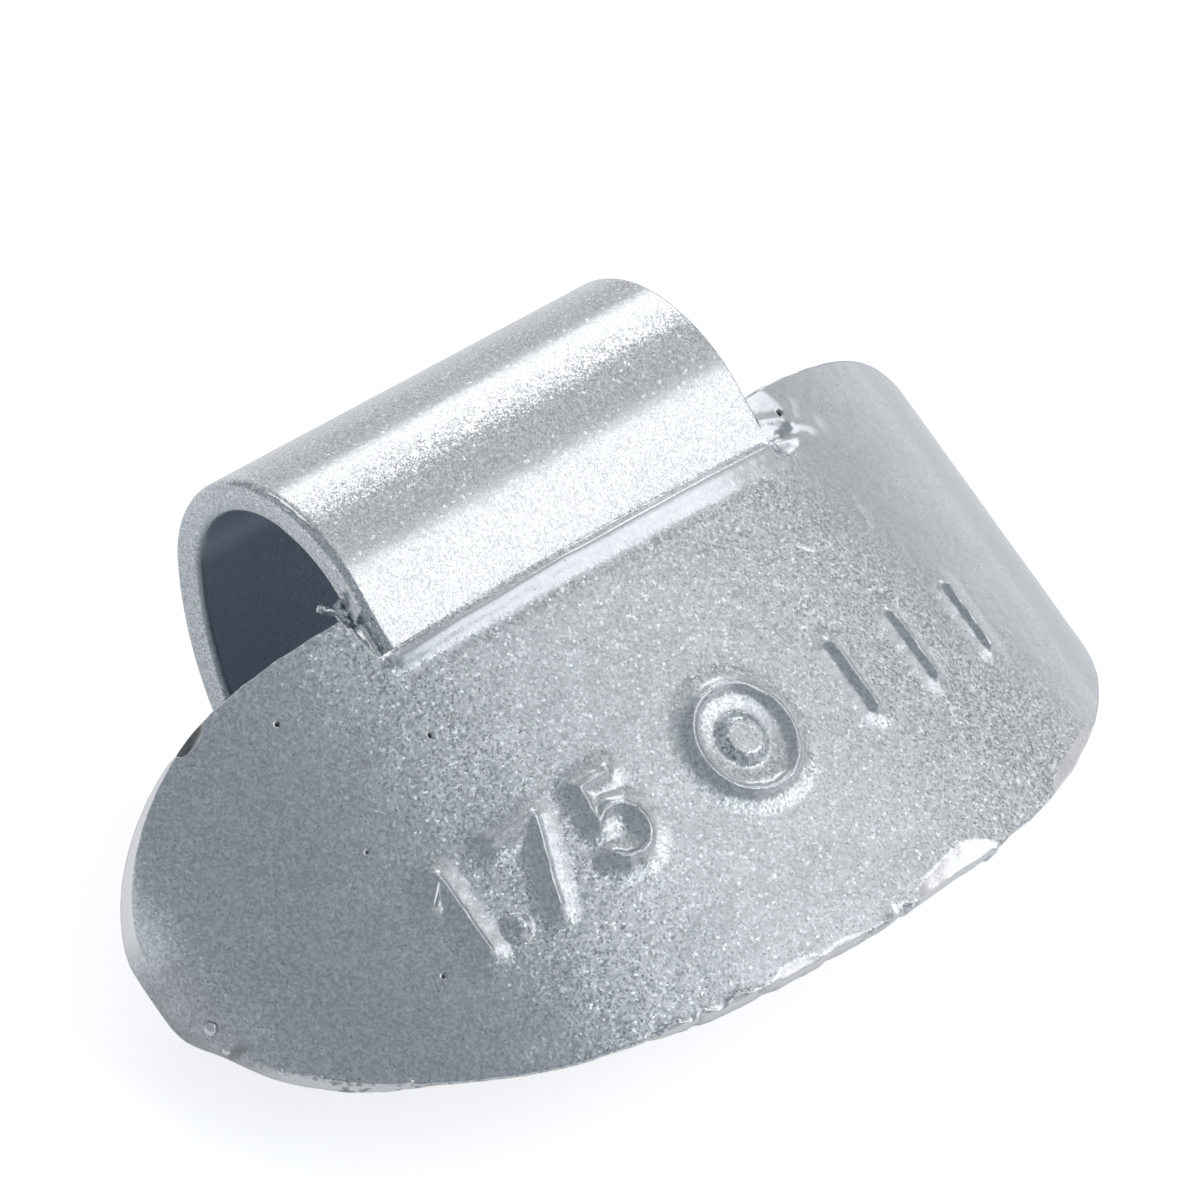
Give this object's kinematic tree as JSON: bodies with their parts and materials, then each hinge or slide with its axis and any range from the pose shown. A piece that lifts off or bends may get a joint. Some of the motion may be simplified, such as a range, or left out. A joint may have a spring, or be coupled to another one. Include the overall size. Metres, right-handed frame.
{
  "type": "clip-on wheel balance weight",
  "caption": "Crowned lead body with rounded shoulders, cast round a hooked spring-steel strip that clips over the edge of a steel wheel rim.",
  "frame": {"origin": "on the surface that the part lies on, under the middle of its box", "axes": "+X along the body, parallel to the axis of the hook; +Y up the face, from the belly to the hook; +Z off the surface that the back lies on"},
  "size_m": [0.0406, 0.0264, 0.0145],
  "materials": {
    "painted_lead": "semi-gloss silver metallic paint with fine sparkle over cast lead",
    "painted_steel": "semi-gloss silver metallic paint with fine sparkle over spring steel"
  },
  "bodies": {
    "root": {"weight_body": "painted_lead", "spring_clip": "painted_steel"}
  },
  "joints": []
}
